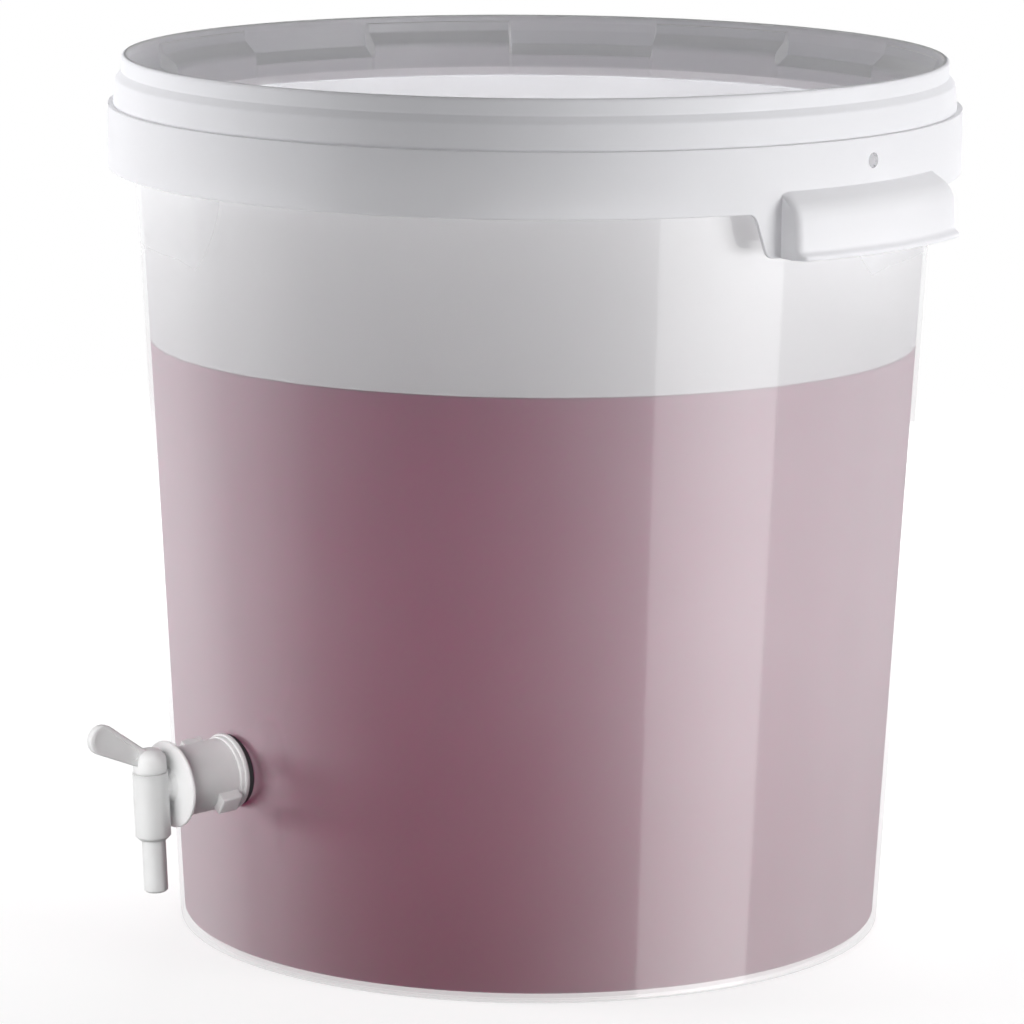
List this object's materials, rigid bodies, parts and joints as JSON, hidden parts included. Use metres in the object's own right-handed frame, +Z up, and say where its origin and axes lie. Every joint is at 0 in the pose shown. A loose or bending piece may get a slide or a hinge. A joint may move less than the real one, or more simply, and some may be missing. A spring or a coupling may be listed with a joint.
{
  "type": "fermentation bucket",
  "caption": "Open translucent white fermentation bucket with a stacking rim, hanging skirt, hooded hand grips and a quarter-turn lever tap low on its side.",
  "frame": {"origin": "centre of the base at the height of the foot ring, on the bucket's axis", "axes": "+Z up along the bucket's axis, the tap points towards -Y, the hand grips lie near +X and -X"},
  "size_m": [0.3958, 0.4147, 0.38],
  "materials": {
    "natural_polypropylene": "milky translucent, satin",
    "white_fitting": "natural white, semi-gloss",
    "grey_rubber": "matt",
    "black_rubber": "matt"
  },
  "bodies": {
    "vessel": {"bucket": "natural_polypropylene", "outer_seal": "grey_rubber", "collar": "white_fitting", "inner_seal": "grey_rubber", "backing_nut": "white_fitting", "tap_seal": "grey_rubber", "tap_body": "white_fitting"},
    "key": {"tap_key": "white_fitting", "key_o_ring_upper": "black_rubber", "key_o_ring_lower": "black_rubber"}
  },
  "joints": [
    {"name": "key_turn", "type": "hinge", "parent": "vessel", "child": "key", "pos_m": [0, -0.20003, 0.08303], "axis": [0, -0.055, 0.9985], "range_deg": [0, 90]}
  ]
}
